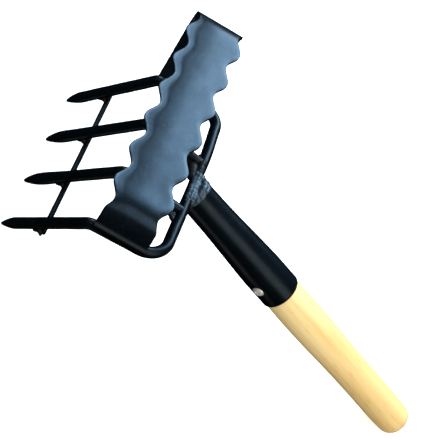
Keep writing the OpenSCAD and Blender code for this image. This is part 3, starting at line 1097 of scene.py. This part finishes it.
def rod_joint(y):
    """The weld between the rod and one tine: a short bead and its webs."""
    at = rod_from_tip(y)
    blobs = []
    for k in range(ROD_BEAD_STEPS + 1):
        place = off_tine(at - 2.2 + around(0.2), BAR_R + 0.2,
                         y + ROD_BEAD_Y - ROD_BEAD_L * k / ROD_BEAD_STEPS)
        blobs.append((place, dice.uniform(1.2, 1.6), dice.uniform(0.8, 1.2), ALONG_BLADE))
    for count, off, side, radius, height, stretch in ROD_WEBS:
        for k in range(count):
            place = off_tine(at + off[0] + off[1] * k, BAR_R + height, y + side[0] + side[1] * k)
            blobs.append((place, radius[0] + radius[1] * k, stretch, ALONG_BLADE))
    return blobs


def rod_welds():
    blobs = []
    for side in (-1, 1):
        for tip_y, root_y in ((OUTER_TIP_Y, SIDE_Y), (INNER_TIP_Y, INNER_Y)):
            blobs += rod_joint(side * y_at_rod(tip_y, root_y))
    return weld_metal("rod_weld_beads", blobs, voxel=0.3, ripple=0.08, ripple_size=1.3, relax=6)


# The socket weld's light blue-grey colour is a painted reflection
piece("socket_weld_bead", socket_weld(), WELD_PAINTED_SHEEN, ["socket_weld"],
      crease=WELD_CREASE)
piece("inner_bar_weld_beads", inner_bar_welds(), DULL_WELD, ["inner_bar_welds"],
      crease=WELD_CREASE)
piece("foot_weld_beads", foot_welds(), DULL_WELD, ["blade_foot_welds"],
      crease=WELD_CREASE)
piece("rod_weld_beads", rod_welds(), DULL_WELD, ["tie_rod_welds"],
      crease=WELD_CREASE)

# ---------------------------------------------------------------- camera, floor and light

CAMERA_AT = Vector((-0.37655, -0.73172, 0.82543))
CAMERA_RIGHT = Vector((0.755287, 0.285257, 0.590059))
CAMERA_DOWN = Vector((0.587429, -0.693888, -0.416469))
CAMERA_FORWARD = Vector((0.290633, 0.661172, -0.691653))
SENSOR_W = 36.0
LENS = 133.6

FLOOR_HALF = 4.0
FLOOR_CELLS = 8
FLOOR_GAP = 0.0002
FLOOR_GLOW = 0.6

FILL_COLOUR = (0.72, 0.64, 0.54, 1.0)
FILL_STRENGTH = 0.60

scene = bpy.context.scene


def set_camera():
    made = bpy.data.objects.new("camera", bpy.data.cameras.new("camera"))
    turn = Matrix((CAMERA_RIGHT, -CAMERA_DOWN, -CAMERA_FORWARD)).transposed().to_4x4()
    made.matrix_world = Matrix.Translation(CAMERA_AT) @ turn
    made.data.sensor_width = SENSOR_W
    made.data.lens = LENS
    made.data.clip_start = 0.01
    made.data.clip_end = 50.0
    scene.collection.objects.link(made)
    scene.camera = made


def floor():
    """A pale floor for the camera only: it is not reflected and throws no light back."""
    made, tree, shader = fresh("pale_floor")
    cloud = object_noise(tree, scale=3.0, detail=2.0)
    feed(tree, shader, {
        "Base Color": ramp(tree, cloud, [(0.3, (0.96, 0.96, 0.96)), (0.7, (0.98, 0.98, 0.98))]),
        "Emission Color": (1.0, 1.0, 1.0, 1.0),
        "Emission Strength": FLOOR_GLOW,
        "Roughness": 0.95,
        "Specular IOR Level": 0.0})
    bm = bmesh.new()
    bmesh.ops.create_grid(bm, x_segments=FLOOR_CELLS, y_segments=FLOOR_CELLS, size=FLOOR_HALF)
    mesh = to_mesh(bm, "floor")
    mesh.materials.append(made)
    ground_plane = bpy.data.objects.new("floor", mesh)
    ground_plane.location.z = -FLOOR_GAP
    ground_plane.visible_glossy = False
    ground_plane.visible_diffuse = False
    scene.collection.objects.link(ground_plane)


set_camera()
floor()

FACE_MIDDLE = TOOL @ Vector((0, 0, 0))
FACE_NORMAL = (TOOL.to_3x3() @ UP).normalized()
TOOL_X = (TOOL.to_3x3() @ Vector((1, 0, 0))).normalized()
SIGHT = (FACE_MIDDLE - CAMERA_AT).normalized()
MIRRORED = (SIGHT - FACE_NORMAL * 2 * SIGHT.dot(FACE_NORMAL)).normalized()


def softbox(name, direction, distance, size, power, colour):
    """An area light seen from the blade in a direction, its width lying along the tool."""
    z = direction.normalized()
    x = (TOOL_X - z * TOOL_X.dot(z)).normalized()
    lamp = bpy.data.lights.new(name, "AREA")
    lamp.shape = "RECTANGLE"
    lamp.size, lamp.size_y = size
    lamp.energy = power
    lamp.color = colour
    made = bpy.data.objects.new(name, lamp)
    made.matrix_world = (Matrix.Translation(FACE_MIDDLE + z * distance)
                         @ Matrix((x, z.cross(x), z)).transposed().to_4x4())
    scene.collection.objects.link(made)


def swing(direction, across_deg, up_deg):
    """Turns a direction towards the tines' side, then up from the horizon."""
    z = direction.normalized()
    side = (-TOOL_X + z * TOOL_X.dot(z)).normalized()
    lift = z.cross(side)
    if lift.z < 0:
        lift = -lift
    return (z + side * math.tan(math.radians(across_deg))
            + lift * math.tan(math.radians(up_deg))).normalized()


# Name, direction and distance from the blade's face, size in metres, watts and colour. The
# first two are what the face and its bevels mirror to the camera; the last one lies under the
# floor, where only reflections find it, and stands for the light that a floor throws up.
for row in (
        ("face_softbox", swing(MIRRORED, -13.8, -9), 1.2, (0.62, 0.62), 17, (0.63, 0.84, 1.0)),
        ("edge_softbox", swing(MIRRORED, 25, -4), 1.2, (0.34, 0.6), 10.5, (0.66, 0.85, 1.0)),
        ("camera_side", Vector((0.627, -0.527, 0.574)), 1.6, (1.0, 1.0), 11, (1.0, 0.92, 0.80)),
        ("overhead", Vector((0.16, -0.20, 0.97)), 1.5, (1.0, 1.0), 9.5, (1.0, 0.98, 0.95)),
        ("tine_side", Vector((-0.80, -0.30, 0.75)), 1.7, (1.2, 1.0), 4, (1.0, 0.985, 0.95)),
        ("low_kicker", Vector((0.238, -0.69, -0.68)), 1.2, (0.4, 0.4), 0.75,
         (1.0, 0.88, 0.76))):
    softbox(*row)

# The fill light comes from all sides and isn't seen in reflections
world = bpy.data.worlds.new("studio")
world.use_nodes = True
background = world.node_tree.nodes["Background"]
background.inputs["Color"].default_value = FILL_COLOUR
background.inputs["Strength"].default_value = FILL_STRENGTH
world.cycles_visibility.glossy = False
scene.world = world
scene.view_settings.view_transform = "Standard"
scene.view_settings.look = "None"
